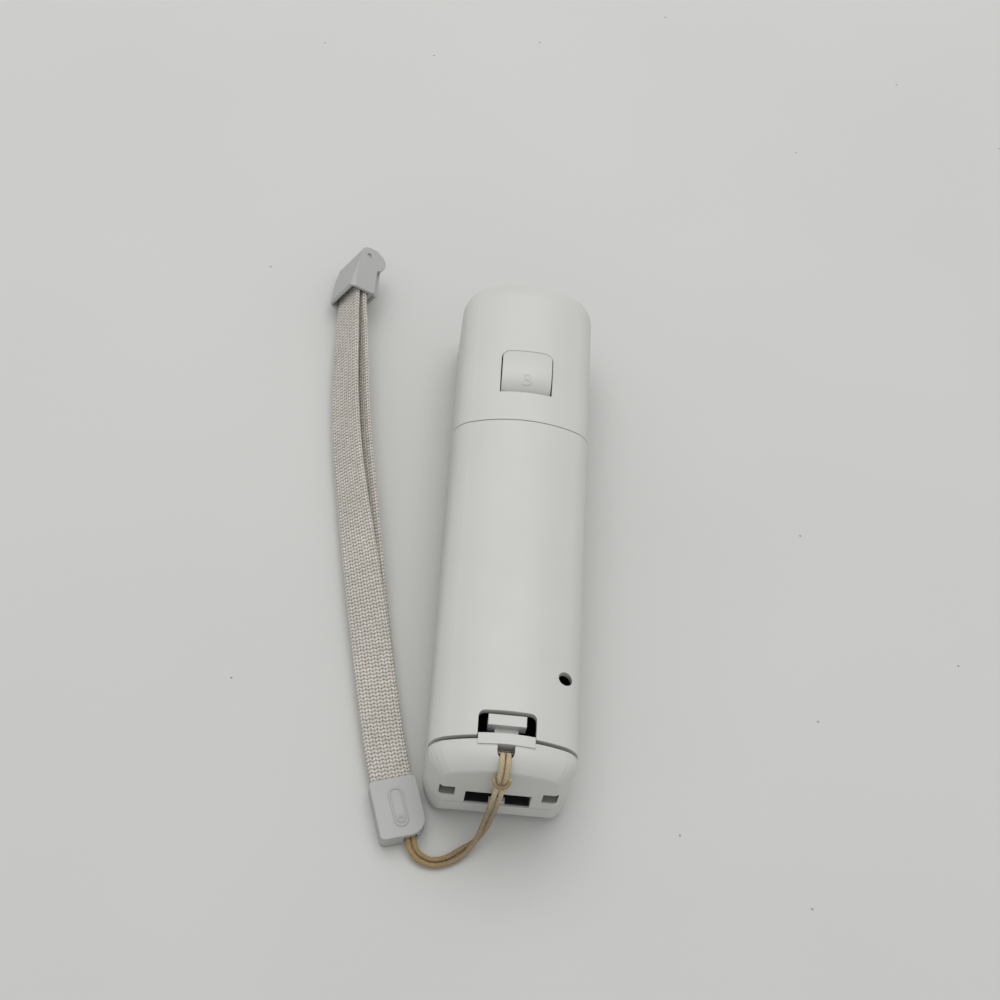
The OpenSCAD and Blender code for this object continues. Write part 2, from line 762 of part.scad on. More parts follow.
// Upright column with the trigger's outline, grown by a gap and by more at its near edge
module trigger_column(gap, swing, z0) {
    x = trig_hw + gap;
    y0 = trig_y0 - gap - swing;
    y1 = trig_y1 + gap;
    r = trig_corner_r + gap;
    mid_block(x, y0, y1 - r, z0, crest_z + 3);
    mid_block(x - r, y0, y1, z0, crest_z + 3);
    for (s = [-1, 1]) post(s * (x - r), y1 - r, r, z0, crest_z + 3);
}

module b_trigger() color(button_white) {
    intersection() {
        translate([0, 0, crown_cz]) about_y() rotate([0, 0, 70]) rotate_extrude(angle = 40) trigger_profile();
        trigger_column(0, 0, ear_z - 2);
    }
    rod_x(trig_pivot_y, trig_pivot_z, trunnion_r, trunnion_x);
}

module trigger_board() color(board_green)
    mid_block(trig_hw, shelf_y0 + 1, shelf_y1 - 1, shelf_z + shelf_t, shelf_z + shelf_t + board_t);

module trigger_switch() color(rubber_grey) {
    z0 = shelf_z + shelf_t + board_t;
    mid_block(3, switch_y - 2.2, switch_y + 2.2, z0, switch_top - 0.9);
    post(0, switch_y, 1.5, z0, switch_top);
}

module dpad() color(button_white) difference() {
    union() {
        pad_cross(0, 0, in_z);
        post(0, pad_y, pad_hub_r, 0.5, pad_plate_z + eps);
        post(0, pad_y, pad_plate_r, pad_plate_z, pad_plate_z + pad_plate_t);
    }
    translate([0, pad_y, ball_z]) sphere(ball_r + fit);
    post(0, pad_y, ball_r, ball_z, ball_z + 3);
    translate([0, pad_y, -5.6]) sphere(6);
}

module dpad_ball() color(metal_grey) translate([0, pad_y, ball_z]) sphere(ball_r);

module dpad_post() color(rubber_grey) difference() {
    post(0, pad_y, post_r, post_z, board_z);
    translate([0, pad_y, ball_z]) sphere(ball_r + fit);
}

// A round cap with a soft rim and a flange that the shell holds in
module round_button(x, y, r, top, edge) color(button_white) translate([x, y, 0]) {
    rotate_extrude() {
        translate([0, top]) square([r - edge, flange_top - top]);
        translate([0, top + edge]) square([r, flange_top - top - edge]);
        translate([r - edge, top + edge]) circle(edge);
    }
    post(0, 0, r + flange_lap, flange_z, flange_top);
}

module a_button() round_button(0, a_y, a_r, 0, 0.5);
module minus_button() round_button(small_x, small_y, small_r, small_drop, 0.3);
module home_button() round_button(0, small_y, small_r, small_drop, 0.3);
module plus_button() round_button(-small_x, small_y, small_r, small_drop, 0.3);
module one_button() round_button(0, one_y, number_r, number_drop, 0.4);
module two_button() round_button(0, two_y, number_r, number_drop, 0.4);
module power_button() round_button(power_x, power_y, power_r, power_drop, 0.2);

module dome(x, y, r, travel) post(x, y, r, flange_top + travel + 0.1, board_z - sheet_t + eps);

module upper_membrane() color(rubber_grey) difference() {
    union() {
        mid_block(small_x + 1.5, small_y - 4, power_y + 2.5, board_z - sheet_t, board_z);
        dome(0, a_y, 3, a_travel);
        for (x = [-small_x, 0, small_x]) dome(x, small_y, 1.4, small_travel);
        dome(power_x, power_y, 1.2, power_travel);
        for (turn = [0 : 90 : 270]) translate([0, pad_y, 0]) rotate([0, 0, turn])
            post(pad_dome_reach, 0, pad_dome_r, board_z - sheet_t - 0.25, board_z - sheet_t + eps);
    }
    post(0, pad_y, post_r + seat_gap, board_z - 3, board_z + 1);
    for (s = [-1, 1]) {
        post(s * screw_x, screw_ys[0], boss_r + loose_gap, board_z - 1, board_z + 1);
        post(s * standoff_x, standoff_ys[1], standoff_r + loose_gap, board_z - 1, board_z + 1);
    }
}

module lower_membrane() color(rubber_grey) {
    mid_block(7, two_y - 6, one_y + 6, board_z - sheet_t, board_z);
    for (y = [one_y, two_y]) dome(0, y, 2, number_travel);
}

module sync_button() color([0.75, 0.12, 0.10]) {
    post(sync_x, sync_y, sync_r, sync_flange_z, sync_top);
    post(sync_x, sync_y, sync_flange_r, sync_flange_z, sync_flange_z + sync_flange_t);
    post(sync_x, sync_y, sync_stem_r, board_top + sync_switch_h + sync_travel + 0.1, sync_flange_z + eps);
}

module sync_switch() color(metal_grey)
    block(sync_x - 2.6, board_hw, sync_y - 2, sync_y + 2, board_top, board_top + sync_switch_h);

module main_board() color(board_green) difference() {
    intersection() {
        mid_block(board_hw, board_y0, board_y1, board_z, board_top);
        plan_slab(board_inset, board_z - 1, board_top + 1);
    }
    for (y = screw_ys, s = [-1, 1]) post(s * screw_x, y, boss_r + loose_gap, board_z - 1, board_top + 1);
}

module board_chips() color(tray_black) {
    for (c = chips) block(c[0] - c[2], c[0] + c[2], c[1] - c[3], c[1] + c[3], board_top, board_top + chip_h);
}

module radio_module() color(metal_grey)
    block(radio_x0, radio_x0 + radio_l, radio_y0, radio_y0 + radio_l, board_top, board_top + radio_h);

module ir_camera() color(tray_black) {
    mid_block(4.5, board_y1 - 7.5, board_y1 - 0.5, board_top, ir_z0 + ir_h * 0.75);
    rod_y(0, ir_z0 + ir_h / 2, 2.6, board_y1 - 1, hl - wall - ir_glass_t + 0.6);
}

module ir_window() color([0.05, 0.03, 0.04]) {
    translate([0, hl - 0.3 - ir_glass_t / 2, 0]) along_y(ir_glass_t)
        rounded_window(ir_hw - fit, ir_z0 + fit, ir_z0 + ir_h - fit, ir_r);
}

module light_guides() color([0.75, 0.85, 0.95]) {
    for (i = [-1.5 : 1 : 1.5]) translate([i * light_pitch, light_y, 0]) {
        mid_block(0.85, -0.85, 0.85, face_z + 0.2, in_z + seat_gap);
        mid_block(1.3, -1.3, 1.3, in_z + seat_gap, board_z);
    }
}

module speaker() color(tray_black) {
    post(0, speaker_y, speaker_r, in_z + fit, in_z + speaker_h - 1);
    post(0, speaker_y, speaker_r - 2.5, in_z + fit, in_z + speaker_h);
}

module rumble_motor() color(metal_grey) {
    rod_y(motor_x, motor_z, motor_r, motor_y0, motor_y0 + motor_l);
    rod_y(motor_x, motor_z, shaft_r, motor_y0 + motor_l - 1, motor_y0 + motor_l + shaft_gap + weight_l);
}

// A half-round weight on the motor's shaft
module rumble_weight() color(metal_grey) difference() {
    y0 = motor_y0 + motor_l + shaft_gap;
    union() {
        intersection() {
            rod_y(motor_x, motor_z, weight_r, y0, y0 + weight_l);
            block(motor_x - 4, motor_x + 4, y0 - 1, y0 + weight_l + 1, motor_z - 4, motor_z);
        }
        rod_y(motor_x, motor_z, shaft_r + 0.7, y0, y0 + weight_l);
    }
    rod_y(motor_x, motor_z, shaft_r + fit, y0 - 1, y0 + weight_l + 1);
}

module motor_cradle() color(rubber_grey) difference() {
    block(motor_x - motor_r - 0.8, motor_x + motor_r + 0.8, motor_y0 + 1, motor_y0 + motor_l - 1,
        board_top, motor_z - 0.6);
    rod_y(motor_x, motor_z, motor_r + fit, motor_y0, motor_y0 + motor_l);
}

// Cells lie side by side, turned end for end; flip is 1 where the nub points to the camera end
function cell_tip(flip) = bay_mid + flip * (bay_l / 2 - plate_t - 2 * plate_gap);
module cell(x, flip) {
    tip = cell_tip(flip);
    shoulder = tip - flip * nub_l;
    foot = shoulder - flip * cell_l;
    color([0.16, 0.17, 0.20]) rod_y(x, cell_z, cell_r, min(foot, shoulder), max(foot, shoulder));
    color(metal_grey) rod_y(x, cell_z, nub_r, min(tip, shoulder - flip), max(tip, shoulder - flip));
}
module battery_left() cell(-cell_x, 1);
module battery_right() cell(cell_x, -1);

module contact_plates() color(metal_grey) {
    for (s = [-1, 1]) {
        y = bay_mid + s * (bay_l / 2 - plate_gap - plate_t / 2);
        for (x = [-cell_x, cell_x])
            block(x - 5.4, x + 5.4, y - plate_t / 2, y + plate_t / 2, bay_floor, deck_z - 0.4);
    }
}

// Vector helpers for swept pieces
function unit(v) = v / norm(v);
function tangents(p) = [for (i = [0 : len(p) - 1]) unit(p[min(i + 1, len(p) - 1)] - p[max(i - 1, 0)])];
function frames(t, u, i = 0) = i >= len(t) ? [] :
    let (w = unit(u - (u * t[i]) * t[i])) concat([w], frames(t, w, i + 1));
function curve_point(a, b, c, d, k) = 0.5 * (2 * b + (c - a) * k
    + (2 * a - 5 * b + 4 * c - d) * k * k + (3 * b - a - 3 * c + d) * k * k * k);
function smooth_route(p, n) = let (last = len(p) - 1) concat(
    [for (i = [0 : last - 1], k = [0 : n - 1])
        curve_point(p[max(i - 1, 0)], p[i], p[i + 1], p[min(i + 2, last)], k / n)], [p[last]]);

// A closed skin over rings of points; each ring has the same number of points
module skin(rings) {
    n = len(rings[0]);
    m = len(rings);
    sides = [for (i = [0 : m - 2], j = [0 : n - 1]) let (a = i * n + j, b = i * n + (j + 1) % n)
        each [[a, b, b + n], [a, b + n, a + n]]];
    caps = [for (j = [1 : n - 2]) each [[0, j + 1, j], [(m - 1) * n, (m - 1) * n + j, (m - 1) * n + j + 1]]];
    polyhedron([for (r = rings) each r], concat(sides, caps));
}

function tube_rings(p, r, n, ref) = let (t = tangents(p), u = frames(t, ref))
    [for (i = [0 : len(p) - 1]) let (v = cross(t[i], u[i]))
        [for (j = [0 : n - 1]) p[i] + r * cos(360 * j / n) * u[i] + r * sin(360 * j / n) * v]];

// Conical contact spring: x of its cell, and the side that it presses from
function spring_points(x, s) = let (n = spring_turns * spring_steps,
        y0 = bay_mid + s * (bay_l / 2 - plate_t - 2 * plate_gap - spring_wire / 2),
        l = spring_l - spring_wire)
    [for (i = [0 : n])
        let (k = i / n, r = spring_r0 + (spring_r1 - spring_r0) * k, a = 360 * spring_turns * k)
        [x + r * cos(a), y0 - s * l * k, cell_z + r * sin(a)]];
function least_gap(p, d, skip) = min([for (i = [0 : len(p) - 1 - skip], j = [i + skip : len(p) - 1])
    norm(p[i] - p[j])]) - d;
module spring(x, s) color(metal_grey)
    skin(tube_rings(spring_points(x, s), spring_wire / 2, spring_sides, [0, 1, 0]));
module spring_left() spring(-cell_x, -1);
module spring_right() spring(cell_x, 1);
echo(spring_least_gap = least_gap(spring_points(cell_x, 1), spring_wire, spring_steps - 2));

module expansion_socket() color(tray_black) {
    hx = socket_w / 2 + socket_wall;
    y0 = -hl + wall + fit;
    y1 = y0 + socket_d + socket_back;
    top = seam_z + socket_h + socket_wall;
    difference() {
        mid_block(hx, y0, y1, board_top, top);
        mid_block(socket_w / 2, y0 - 1, y1 - socket_back, board_top + 0.5, top - socket_wall);
    }
    for (s = [-1, 1]) {
        x0 = s > 0 ? key_w / 2 + fit : fit - socket_w / 2;
        block(x0, x0 + socket_w / 2 - key_w / 2 - 2 * fit, sill_set - hl, y0 + 1, seam_z + seam_gap,
            seam_z + seam_gap + sill_t);
    }
    blade_z = (seam_z + seam_z + socket_h) / 2;
    mid_block(blade_hw, y0 + 2, y1 - 0.5, blade_z - tongue_blade_t / 2, blade_z + tongue_blade_t / 2);
}

module socket_contacts() color(contact_gold) {
    blade_z = (seam_z + seam_z + socket_h) / 2;
    y0 = -hl + wall + fit;
    for (i = [-1 : 1], s = [-1, 1]) {
        z = blade_z + s * (tongue_blade_t / 2 + contact_t / 2);
        translate([i * 3.4, 0, z])
            mid_block(contact_w, y0 + 2.4, y0 + socket_d, -contact_t / 2, contact_t / 2);
    }
    for (s = [-1, 1]) {
        x0 = s > 0 ? socket_w / 2 - 0.5 : -socket_w / 2;
        block(x0, x0 + 0.5, y0 + 0.4, y0 + socket_d, seam_z + 1, seam_z + socket_h - 1);
    }
}

module housing_screws() color(metal_grey) for (y = screw_ys, s = [-1, 1]) difference() {
    union() {
        post(s * screw_x, y, screw_head_r, bay_floor, bay_floor + screw_head_h);
        post(s * screw_x, y, screw_r, screw_tip_z, bay_floor + eps);
    }
    for (turn = [0, 90]) translate([s * screw_x, y, bay_floor + screw_head_h - 0.6]) rotate([0, 0, turn])
        mid_block(0.25, -1.2, 1.2, 0, 1);
}

module strap_bar() color(metal_grey) rod_x(bar_y, bar_z, bar_r, bar_hl);

module strap_place() translate([0, strap_end - hl, 0]) children();

module cord(route) color(cord_tan) strap_place()
    skin(tube_rings(smooth_route(route, cord_steps), cord_d / 2, cord_sides, [1, 0, 0]));
module cord_inner() cord(inner_route);
module cord_outer() cord(outer_route);

// Loop of the hitch, drawn round both strands
module cord_hitch() color(cord_tan) strap_place() {
    m = hitch_sides;
    n = hitch_steps;
    ring = [for (i = [0 : n - 1]) let (a = 360 * i / n)
        hitch_at + [hitch_a * cos(a), hitch_b * sin(a), hitch_tilt * cos(a)]];
    t = [for (i = [0 : n - 1]) unit(ring[(i + 1) % n] - ring[(i + n - 1) % n])];
    pts = [for (i = [0 : n - 1], j = [0 : m - 1])
        let (u = unit(cross(t[i], [0, 0, 1])), v = cross(t[i], u))
        ring[i] + hitch_r * (cos(360 * j / m) * u + sin(360 * j / m) * v)];
    polyhedron(pts, [for (i = [0 : n - 1], j = [0 : m - 1])
        let (k = (j + 1) % m, e = (i + 1) % n, a = i * m + j, b = i * m + k, c = e * m + j, d = e * m + k)
        each [[a, d, b], [a, c, d]]]);
}

module base_outline() {
    r = base_corner_r;
    big = base_big_r;
    translate([r - base_l / 2, -base_w / 2]) square([base_l - r - big, base_w]);
    translate([-base_l / 2, r - base_w / 2]) square([base_l, base_w - r - big]);
    translate([-base_l / 2, r - base_w / 2]) square([base_l - big, base_w - 2 * r]);
    translate([r - base_l / 2, -base_w / 2]) square([base_l - 2 * r, base_w - big]);
    for (y = [r - base_w / 2, base_w / 2 - r]) translate([r - base_l / 2, y]) circle(r);
    translate([base_l / 2 - r, r - base_w / 2]) circle(r);
    translate([base_l / 2 - big, base_w / 2 - big]) circle(big);
}

module oblong(l, w) {
    square([l - w, w], center = true);
    for (s = [-1, 1]) translate([s * (l - w) / 2, 0]) circle(w / 2);
}

module strap_base() color(strap_grey) strap_place()
    translate([base_at[0], base_at[1], 0]) rotate([0, 0, base_turn]) difference() {
        union() {
            linear_extrude(base_h - emboss_h) base_outline();
            linear_extrude(base_h) difference() {
                oblong(emboss_l, emboss_w);
                oblong(emboss_l - 2 * emboss_line, emboss_w - 2 * emboss_line);
            }
            linear_extrude(base_h) translate([dot_x, 0]) difference() {
                circle(dot_r);
                circle(dot_r - emboss_line);
            }
        }
        block(-base_l / 2 - 1, base_slot_d - base_l / 2, -web_w / 2 - 0.2, web_w / 2 + 0.2,
            web_floor - web_gap, web_floor + 2 * web_t + 2 * web_gap);
        translate([base_l / 2, base_mouth_y, base_mouth_z]) block(-base_mouth_d, 1, -base_mouth_w / 2,
            base_mouth_w / 2, -base_mouth_h / 2, base_mouth_h / 2);
    }

// Rings of one webbing layer; layer is 1 for the upper and 0 for the lower
function web_rings(layer) = let (s = smooth_route(web_route, cord_steps), n = len(s), c = web_edge,
        a = web_w / 2, b = web_t / 2, half = [[a - c, -b], [a, c - b], [a, b - c], [a - c, b]],
        line = [for (q = s) [q[0], q[1], 0]], t = tangents(line))
    [for (i = [0 : n - 1]) let (q = s[i], roll = q[2], side = [t[i][1], -t[i][0], 0],
            w = cos(roll) * side + [0, 0, sin(roll)], up = [0, 0, cos(roll)] - sin(roll) * side,
            low_z = a * sin(roll) + b * cos(roll) + web_floor * cos(roll) + q[4],
            shift = layer == 1 ? [0, 0, web_step * cos(roll)] : q[3] * sin(roll) * side,
            at = line[i] + [0, 0, low_z] + shift)
        [for (e = concat(half, -half)) at + e[0] * w + e[1] * up]];

module web_upper() color(web_beige) strap_place() skin(web_rings(1));
module web_lower() color(web_beige) strap_place() skin(web_rings(0));

module lock_place() strap_place() translate(lock_at) rotate([0, -lock_roll, 0]) children();

// Outline of the lock's body along the webbing: open mouth at one end, round nose at the other
module lock_side() {
    y0 = -lock_l / 2;
    nose_y = lock_l / 2 - lock_nose_r;
    nose_z = lock_top - lock_drop - lock_nose_r;
    r = lock_edge_r;
    polygon([[y0, lock_floor + r], [y0 + r, lock_floor], [nose_y + lock_nose_r - r, lock_floor],
        [nose_y + lock_nose_r, lock_floor + r], [nose_y + lock_nose_r, nose_z],
        [nose_y, lock_top - lock_drop], [y0 + r, lock_top], [y0, lock_top - r]]);
    for (z = [lock_floor + r, lock_top - r]) translate([y0 + r, z]) circle(r);
    translate([nose_y + lock_nose_r - r, lock_floor + r]) circle(r);
    translate([nose_y, nose_z]) circle(lock_nose_r);
}

// Section of the lock's body across the webbing, with two round upper edges
module lock_front() {
    half = lock_w / 2;
    r = lock_side_r;
    translate([-half, lock_floor - 1]) square([lock_w, lock_h + 1 - r]);
    translate([r - half, lock_floor]) square([lock_w - 2 * r, lock_h]);
    for (x = [r - half, half - r]) translate([x, lock_top - r]) circle(r);
}

module strap_lock() color(strap_grey) lock_place() {
    y0 = -lock_l / 2;
    cheek = lock_w / 2 - lever_hw - lever_gap;
    difference() {
        union() {
            intersection() {
                along_x(lock_w) lock_side();
                along_y(2 * lock_l) lock_front();
            }
            translate([lock_w / 2 - cheek / 2, 0, 0]) rod_x(cam_y, cam_z, cam_r, cheek / 2);
        }
        mid_block(lock_slot_w / 2, y0 - 1, lock_slot_end, lock_slot_z0, lock_slot_z1);
        mid_block(lock_slot_w / 2, y0 - 1, y0 + lock_mouth_l, lock_slot_z0, lock_mouth_z);
        mid_block(lever_hw + lever_gap, fork_y, lock_l, lock_floor - 1, fork_z);
        rod_x(pin_y, pin_z, pin_r + fit, lock_w);
    }
    mid_block(lock_slot_w / 2 + fuse, y0 + lock_rib_in, y0 + lock_mouth_l + fuse, lock_rib_z - lock_rib_t / 2,
        lock_rib_z + lock_rib_t / 2);
}

// Lever: a round cam in the fork and an arm along the floor
module lock_lever() color(strap_grey) lock_place() difference() {
    arm_z = lock_floor - lever_gap - lever_t / 2;
    union() {
        rod_x(cam_y, cam_z, cam_r, lever_hw);
        mid_block(lever_hw, lever_y0, cam_y, arm_z - lever_t / 2, arm_z + lever_t / 2);
        rod_x(lever_y0, arm_z, lever_t / 2, lever_hw);
    }
    rod_x(pin_y, pin_z, pin_r + fit, lever_hw + 1);
}

module lock_pin() color(metal_grey) lock_place() rod_x(pin_y, pin_z, pin_r, lock_w / 2 - pin_set);

front_shell();
rear_shell();
battery_cover();
cover_latch();
battery_tray();
b_trigger();
trigger_board();
trigger_switch();
dpad();
dpad_ball();
dpad_post();
a_button();
minus_button();
home_button();
plus_button();
one_button();
two_button();
power_button();
upper_membrane();
lower_membrane();
sync_button();
sync_switch();
main_board();
board_chips();
radio_module();
ir_camera();
ir_window();
light_guides();
speaker();
rumble_motor();
rumble_weight();
motor_cradle();
battery_left();
battery_right();
spring_left();
spring_right();
contact_plates();
expansion_socket();
socket_contacts();
housing_screws();
strap_bar();
cord_inner();
cord_outer();
cord_hitch();
strap_base();
web_upper();
web_lower();
strap_lock();
lock_lever();
lock_pin();
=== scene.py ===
"""Looks of a motion controller wand: materials, cords, webbing, letters, light and camera."""

import json
import math

import bpy
from mathutils import Matrix, Vector


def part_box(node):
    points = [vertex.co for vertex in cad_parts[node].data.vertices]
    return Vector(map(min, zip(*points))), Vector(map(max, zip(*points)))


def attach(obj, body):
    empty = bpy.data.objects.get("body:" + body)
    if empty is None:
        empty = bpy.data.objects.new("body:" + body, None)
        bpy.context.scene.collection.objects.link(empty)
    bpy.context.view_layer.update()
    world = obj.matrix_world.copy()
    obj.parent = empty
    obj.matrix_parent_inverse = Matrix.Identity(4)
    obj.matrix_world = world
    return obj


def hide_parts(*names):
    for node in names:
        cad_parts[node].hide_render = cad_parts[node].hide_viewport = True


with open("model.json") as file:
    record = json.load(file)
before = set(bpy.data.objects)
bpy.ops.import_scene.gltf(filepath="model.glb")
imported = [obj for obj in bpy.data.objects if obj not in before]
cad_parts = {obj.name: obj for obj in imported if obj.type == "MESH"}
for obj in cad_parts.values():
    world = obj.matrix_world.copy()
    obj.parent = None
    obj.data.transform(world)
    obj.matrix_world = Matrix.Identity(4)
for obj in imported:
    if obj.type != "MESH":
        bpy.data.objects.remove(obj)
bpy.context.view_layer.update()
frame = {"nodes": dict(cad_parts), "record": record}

MM = 0.001
ROOT = "body"

# Camera, in millimetres and degrees
CAMERA_AT = (-32.0, -245.06, 404.31)
CAMERA_YAW = 6.237
CAMERA_PITCH = 56.60
CAMERA_ROLL = 11.04
CAMERA_LENS = 63.06
CAMERA_SENSOR = 36.0
CAMERA_NEAR = 10.0

# Light and floor, with lengths in metres
FLOOR_HALF = 2.0
FLOOR_Z = -0.0002
FLOOR_GREY = (0.62, 0.625, 0.605)
SKY_HORIZON = 0.54
SKY_TOP = 0.66
LAMP_AT = (-0.05, 0.38, 0.92)
LAMP_SIZE = 0.9
LAMP_WATTS = 4.4

# Webbing, in millimetres, with each route point as x, y, roll in degrees, distance of the layers and lift
WEB_W = 10.5
WEB_T = 1.5
WEB_STEP = 1.75
WEB_FLOOR = 0.55
WEB_ROUTE = [
    (-25, -70, 0, 1.75, 0), (-26.5, -65, 0, 1.75, 0), (-28.8, -56, 2, 1.75, 0),
    (-31.4, -44, 6, 1.8, 0), (-35.2, -26, 16, 2.2, 0), (-39.3, -7, 31, 3.2, 0),
    (-43.5, 13, 43, 4.2, 0), (-46.6, 30, 47, 4.4, 0), (-48.8, 47, 50, 4.2, 0.2),
    (-50.1, 64, 54, 3.4, 0.7), (-50.7, 74, 58, 2.6, 1.4), (-50.9, 80, 60, 2.2, 1.8),
    (-50.9, 86.6, 60, 2.2, 1.8),
]
KNIT_COLUMNS = 14
KNIT_PER_COLUMN = 10
KNIT_ROW = 1.02
KNIT_STEP = 0.16
KNIT_DEPTH = 0.3
KNIT_SLANT = 0.45
KNIT_EDGE = 0.55
WEB_SPLINE_STEPS = 40

# Cord, in millimetres
CORD_D = 1.3
CORD_RING = 24
CORD_STEP = 0.11
BRAID_PITCH = 1.6
BRAID_STARTS = 6
BRAID_DEPTH = 0.035
CORD_SPLINE_STEPS = 24
INNER_ROUTE = [
    (-0.72, -69.55, 23.6), (-0.72, -69.57, 26), (-0.72, -69.6, 27.4), (-0.73, -69.84, 28.42),
    (-0.75, -70.4, 29.26), (-0.77, -71.22, 29.84), (-0.8, -72.3, 30.08), (-0.85, -73.5, 29.76),
    (-0.95, -74.8, 28.6), (-1.1, -75.7, 26.6), (-1.25, -76.1, 22), (-1.7, -76.4, 14),
    (-2.55, -77.9, 7), (-3.8, -80.8, 3.7), (-6.3, -84.3, 1.4), (-10.1, -86.9, 0.95),
    (-14.15, -87.85, 0.95), (-17.75, -86.8, 1.45), (-19.8, -84.6, 2.1), (-20.45, -82.3, 2.2),
    (-21, -80.1, 2.2),
]
OUTER_ROUTE = [
    (0.72, -69.55, 23.6), (0.72, -69.57, 26), (0.72, -69.6, 27.4), (0.72, -69.84, 28.42),
    (0.7, -70.4, 29.26), (0.69, -71.22, 29.84), (0.66, -72.3, 30.08), (0.6, -73.5, 29.76),
    (0.5, -74.8, 28.6), (0.35, -75.7, 26.6), (0.2, -76.1, 22), (-0.25, -76.5, 14),
    (-1.45, -78.3, 6.2), (-3.9, -80.75, 1.9), (-7.4, -83.1, 0.95), (-10.8, -85.5, 0.9),
    (-14.2, -86.4, 1), (-17.1, -85.5, 1.5), (-18.5, -83.9, 2.1), (-19.1, -82, 2.2),
    (-19.65, -79.7, 2.2),
]
HITCH_AT = (-0.4, -75.85, 26.4)
HITCH_A = 1.9
HITCH_B = 1.3
HITCH_R = 0.45
HITCH_EAR = 0.7
HITCH_STEPS = 96

# Middle and half size, in millimetres, of the right one of the end face's two pockets, which the left one
# mirrors; the shell's painted shade fills these boxes
POCKET_AT = (12.5, -71.6, 14.65)
POCKET_HALF = (1.92, 2.1, 2.37)

# Letters and signs, in millimetres, with LETTER_CAP and LETTER_BEVEL as shares
LETTER_CAP = 0.69
LETTER_BEVEL = 0.2
LETTER_CURVE_STEPS = 6
TRIGGER_TOP = 30.8
TRIGGER_MID_Y = 42.6
TRIGGER_ROLL_R = 9.2
TRIGGER_LETTER_TURN = math.radians(21)
TRIGGER_LETTER_H = 3.3
TRIGGER_LETTER_T = 0.14
SIGN_THICK = 0.04

# Sockets of a colour mix
MIX_SHARE = 0
MIX_BASE = 6
MIX_OVER = 7
MIX_RESULT = 2

# A speck is gone at this many times its size, and its cell is chosen with this soft step
SPECK_FADE = 1.5
SPECK_CHANCE = 0.02

# Where the cells' sleeve starts and stops to turn paler, along the body in metres
SLEEVE_FADE = (-0.042, 0.0)

SHARP_ANGLE = math.radians(32)


# Paths

def spline(points, steps):
    """Points of a smooth line through the given points of any dimension."""
    found = []
    last = len(points) - 1
    for index in range(last):
        near = [points[max(0, min(last, index + shift))] for shift in (-1, 0, 1, 2)]
        for step in range(steps):
            k = step / steps
            found.append(tuple(
                0.5 * (2 * b + (c - a) * k + (2 * a - 5 * b + 4 * c - d) * k * k
                       + (3 * b - a - 3 * c + d) * k ** 3)
                for a, b, c, d in zip(*near)))
    found.append(tuple(points[last]))
    return found


def evenly(points, gap):
    """The same line with points about gap apart, counted on its first three numbers."""
    run = [0.0]
    for a, b in zip(points, points[1:]):
        run.append(run[-1] + math.dist(a[:3], b[:3]))
    count = max(2, round(run[-1] / gap))
    found = []
    at = 0
    for step in range(count + 1):
        want = run[-1] * step / count
        while at < len(run) - 2 and run[at + 1] < want:
            at += 1
        span = run[at + 1] - run[at]
        share = (want - run[at]) / span if span else 0.0
        found.append(tuple(p + (q - p) * share for p, q in zip(points[at], points[at + 1])))
    return found, run[-1]


def tangents(points, closed=False):
    last = len(points) - 1
    found = []
    for index in range(len(points)):
        if closed:
            a, b = points[index - 1], points[(index + 1) % len(points)]
        else:
            a, b = points[max(0, index - 1)], points[min(last, index + 1)]
        found.append((Vector(b[:3]) - Vector(a[:3])).normalized())
    return found


def carried_sides(along):
    """A side vector at each point, carried along the line with no twist."""
    side = along[0].orthogonal().normalized()
    found = []
    for t in along:
        side = (side - t * side.dot(t)).normalized()
        found.append(side)
    return found


# Meshes

def swept(name, rings, marks, closed=False):
    """A skin over rings of equally many points, with named numbers for each point."""
    count = len(rings[0])
    verts = [tuple(MM * v for v in point) for ring in rings for point in ring]
    faces = []
    spans = len(rings) if closed else len(rings) - 1
    for row in range(spans):
        a = row * count
        b = (row + 1) % len(rings) * count
        for col in range(count):
            nxt = (col + 1) % count
            faces.append((a + col, a + nxt, b + nxt, b + col))
    if not closed:
        faces.append(tuple(reversed(range(count))))
        faces.append(tuple(range(len(verts) - count, len(verts))))
    mesh = bpy.data.meshes.new(name)
    mesh.from_pydata(verts, [], faces)
    for mark, values in marks.items():
        field = mesh.attributes.new(mark, "FLOAT", "POINT")
        field.data.foreach_set("value", values)
    mesh.shade_smooth()
    made = bpy.data.objects.new(name, mesh)
    bpy.context.collection.objects.link(made)
    return made


def braided(name, points, radius, closed=False):
    """A braided tube, the line that it follows in millimetres, and its length."""
    path, length = evenly(points, CORD_STEP)
    if closed:
        path = path[:-1]
    along = tangents(path, closed)
    sides = carried_sides(along)
    rings, relief, run = [], [], []
    for index, (point, t, side) in enumerate(zip(path, along, sides)):
        over = t.cross(side)
        share = index / (len(path) - 1)
        phase = 2 * math.pi * share * round(length / BRAID_PITCH)
        ring = []
        for step in range(CORD_RING):
            turn = 2 * math.pi * step / CORD_RING
            left = math.cos(BRAID_STARTS * turn + phase)
            right = math.cos(BRAID_STARTS * turn - phase)
            rise = 0.5 + 0.5 * max(left, right)
            r = radius - BRAID_DEPTH * (1 - rise)
            ring.append(Vector(point) + r * (math.cos(turn) * side + math.sin(turn) * over))
            relief.append(rise)
            run.append(share)
        rings.append(ring)
    return swept(name, rings, {"relief": relief, "along": run}, closed), path, length


